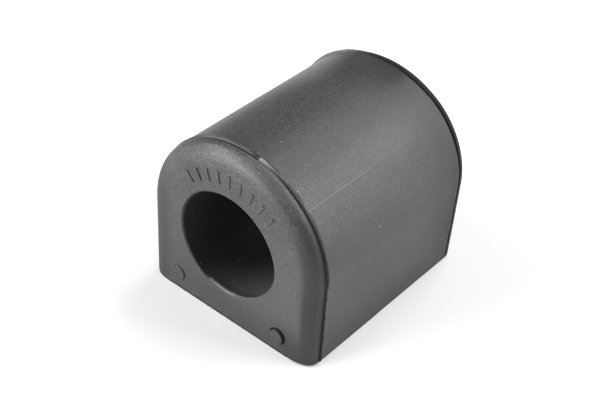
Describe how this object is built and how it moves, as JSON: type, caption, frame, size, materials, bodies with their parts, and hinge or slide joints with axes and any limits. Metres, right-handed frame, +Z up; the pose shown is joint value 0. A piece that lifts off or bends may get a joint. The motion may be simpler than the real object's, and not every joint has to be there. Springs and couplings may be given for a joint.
{
  "type": "sway bar bushing",
  "caption": "D-section moulded rubber block with a flat base, an arched top and a round bore that holds a vehicle's sway bar.",
  "frame": {"origin": "centre of the flat base", "axes": "+Y along the bore from the marked front end to the rear end, +X across the block, +Z up from the flat base to the crown of the arch"},
  "size_m": [0.0528, 0.0588, 0.0487],
  "materials": {
    "rubber": "matt moulded black rubber with a fine grain"
  },
  "bodies": {
    "root": {"bushing": "rubber"}
  },
  "joints": []
}
